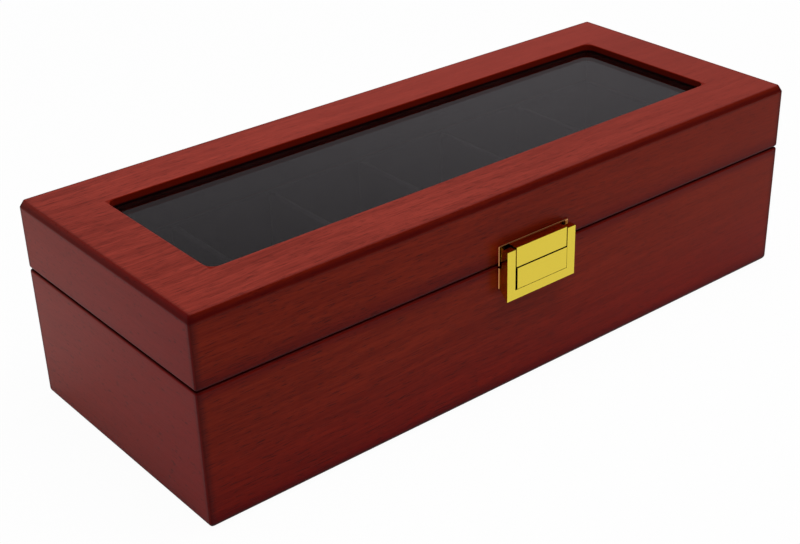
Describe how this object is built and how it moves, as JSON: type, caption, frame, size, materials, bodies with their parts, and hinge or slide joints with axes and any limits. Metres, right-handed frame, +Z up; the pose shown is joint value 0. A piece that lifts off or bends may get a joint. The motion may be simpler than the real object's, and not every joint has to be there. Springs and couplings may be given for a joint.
{
  "type": "pocket watch display box",
  "caption": "Low rectangular wooden display box with a glazed hinged lid, press catch and velvet-lined compartments with lift-out cushions.",
  "frame": {"origin": "centre of the underside, at table level, under the middle of the wooden case", "axes": "+X along the front to the right, +Y to the back where the hinges are, +Z up"},
  "size_m": [0.318, 0.132, 0.0907],
  "materials": {
    "cherry": "cherry-red veneer under clear satin lacquer",
    "board": "plain fibreboard",
    "velvet": "black short-pile velvet",
    "felt": "black felt",
    "glass": "clear polished",
    "brass": "polished and lacquered",
    "steel": "plain drawn steel"
  },
  "bodies": {
    "base": {"base_back_wall": "cherry", "base_front_wall": "cherry", "base_left_wall": "cherry", "base_right_wall": "cherry", "bottom_panel": "board", "catch_base_plate": "brass", "catch_base_screws": "brass", "catch_housing": "brass", "catch_spring": "steel", "divider_1": "velvet", "divider_2": "velvet", "divider_3": "velvet", "divider_4": "velvet", "divider_5": "velvet", "floor_lining": "velvet", "hinge_base_screws": "brass", "hinge_left_base_leaf": "brass", "hinge_left_pin": "steel", "hinge_right_base_leaf": "brass", "hinge_right_pin": "steel", "liner_back": "velvet", "liner_front": "velvet", "liner_left": "velvet", "liner_right": "velvet", "underside_felt": "felt"},
    "lid": {"catch_strike": "brass", "catch_strike_screws": "brass", "glass_holder_back": "velvet", "glass_holder_front": "velvet", "glass_holder_left": "velvet", "glass_holder_right": "velvet", "glass_pane": "glass", "hinge_left_lid_leaf": "brass", "hinge_lid_screws": "brass", "hinge_right_lid_leaf": "brass", "lid_back_rail": "cherry", "lid_front_rail": "cherry", "lid_left_rail": "cherry", "lid_lining_back": "velvet", "lid_lining_front": "velvet", "lid_lining_left": "velvet", "lid_lining_right": "velvet", "lid_right_rail": "cherry", "lid_top_panel": "cherry"},
    "catch_button": {"catch_button": "brass"},
    "cushion_1": {"cushion_1": "velvet"},
    "cushion_2": {"cushion_2": "velvet"},
    "cushion_3": {"cushion_3": "velvet"},
    "cushion_4": {"cushion_4": "velvet"},
    "cushion_5": {"cushion_5": "velvet"},
    "cushion_6": {"cushion_6": "velvet"}
  },
  "joints": [
    {"name": "lid_hinge", "type": "hinge", "parent": "base", "child": "lid", "pos_m": [0, 0.0618, 0.06015], "axis": [-1, 0, 0], "range_deg": [0, 95]},
    {"name": "button_press", "type": "slide", "parent": "base", "child": "catch_button", "axis": [0, 1, 0], "range_m": [0, 0.0014], "stiffness_N_per_m": 1500, "springref_m": -0.001, "deforming": ["catch_spring"]},
    {"name": "cushion_1_lift", "type": "slide", "parent": "base", "child": "cushion_1", "axis": [0, 0, 1], "range_m": [0, 0.045]},
    {"name": "cushion_2_lift", "type": "slide", "parent": "base", "child": "cushion_2", "axis": [0, 0, 1], "range_m": [0, 0.045]},
    {"name": "cushion_3_lift", "type": "slide", "parent": "base", "child": "cushion_3", "axis": [0, 0, 1], "range_m": [0, 0.045]},
    {"name": "cushion_4_lift", "type": "slide", "parent": "base", "child": "cushion_4", "axis": [0, 0, 1], "range_m": [0, 0.045]},
    {"name": "cushion_5_lift", "type": "slide", "parent": "base", "child": "cushion_5", "axis": [0, 0, 1], "range_m": [0, 0.045]},
    {"name": "cushion_6_lift", "type": "slide", "parent": "base", "child": "cushion_6", "axis": [0, 0, 1], "range_m": [0, 0.045]}
  ]
}
